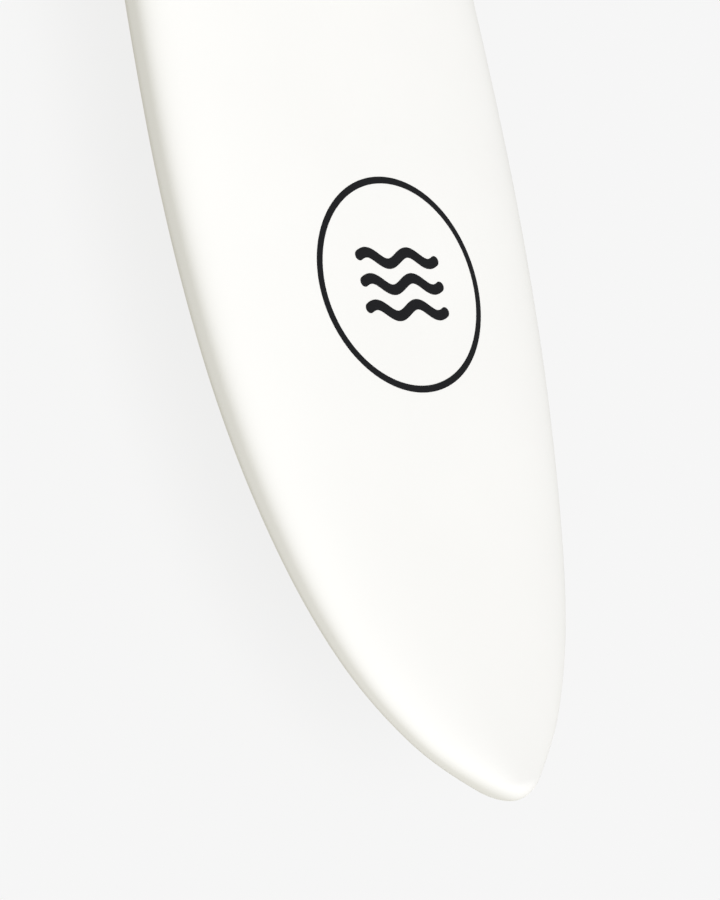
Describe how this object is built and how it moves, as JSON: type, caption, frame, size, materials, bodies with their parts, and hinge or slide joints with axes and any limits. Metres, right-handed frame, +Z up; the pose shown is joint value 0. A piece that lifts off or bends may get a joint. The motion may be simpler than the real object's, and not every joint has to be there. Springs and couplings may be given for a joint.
{
  "type": "surfboard",
  "caption": "Soft-top surfboard with thick rounded rails, curved-up nose and tail, printed ring emblem, leash plug, adjustable centre fin in a long box and smaller side fins.",
  "frame": {"origin": "under the middle of the board's overall box, at the height of the centre fin's lowest point", "axes": "+X from tail to nose, +Y to the left rail, +Z up out of the deck"},
  "size_m": [2.134, 0.5718, 0.2695],
  "materials": {
    "deck_foam": "matte closed-cell foam skin",
    "bottom_slick": "smooth satin sheet",
    "foam_core": "beaded foam",
    "stringer_wood": "laminated wood",
    "print_ink": "matte printed film",
    "fitting_plastic": "moulded glass-filled plastic",
    "fin_plastic": "satin moulded plastic",
    "stainless": "bright stainless steel",
    "brass_parts": "plain turned brass"
  },
  "bodies": {
    "board": {"deck_skin": "deck_foam", "bottom_skin": "bottom_slick", "core_left": "foam_core", "core_right": "foam_core", "stringer": "stringer_wood", "emblem_ring": "print_ink", "emblem_waves": "print_ink", "leash_cup": "fitting_plastic", "leash_bar": "stainless", "fin_box": "fitting_plastic", "side_box_left": "fitting_plastic", "side_box_right": "fitting_plastic", "side_fin_left": "fin_plastic", "side_fin_right": "fin_plastic"},
    "centre_fin_unit": {"centre_fin": "fin_plastic", "fin_pin": "brass_parts", "fin_plate": "brass_parts"},
    "fin_screw": {"fin_screw": "stainless"},
    "side_screw_left": {"side_screw_left": "stainless"},
    "side_screw_right": {"side_screw_right": "stainless"}
  },
  "joints": [
    {"name": "centre_fin_slide", "type": "slide", "parent": "board", "child": "centre_fin_unit", "axis": [0.997, 0, -0.0777], "range_m": [-0.045, 0.035]},
    {"name": "fin_screw_turn", "type": "hinge", "parent": "centre_fin_unit", "child": "fin_screw", "pos_m": [-0.75673, 0, 0.16406], "axis": [-0.0777, 0, -0.997], "continuous": true},
    {"name": "side_screw_left_turn", "type": "hinge", "parent": "board", "child": "side_screw_left", "pos_m": [-0.69771, 0.12097, 0.16048], "axis": [0.6552, 0.003, -0.7554], "continuous": true},
    {"name": "side_screw_right_turn", "type": "hinge", "parent": "board", "child": "side_screw_right", "pos_m": [-0.69771, -0.12097, 0.16048], "axis": [0.6552, -0.003, -0.7554], "continuous": true}
  ]
}
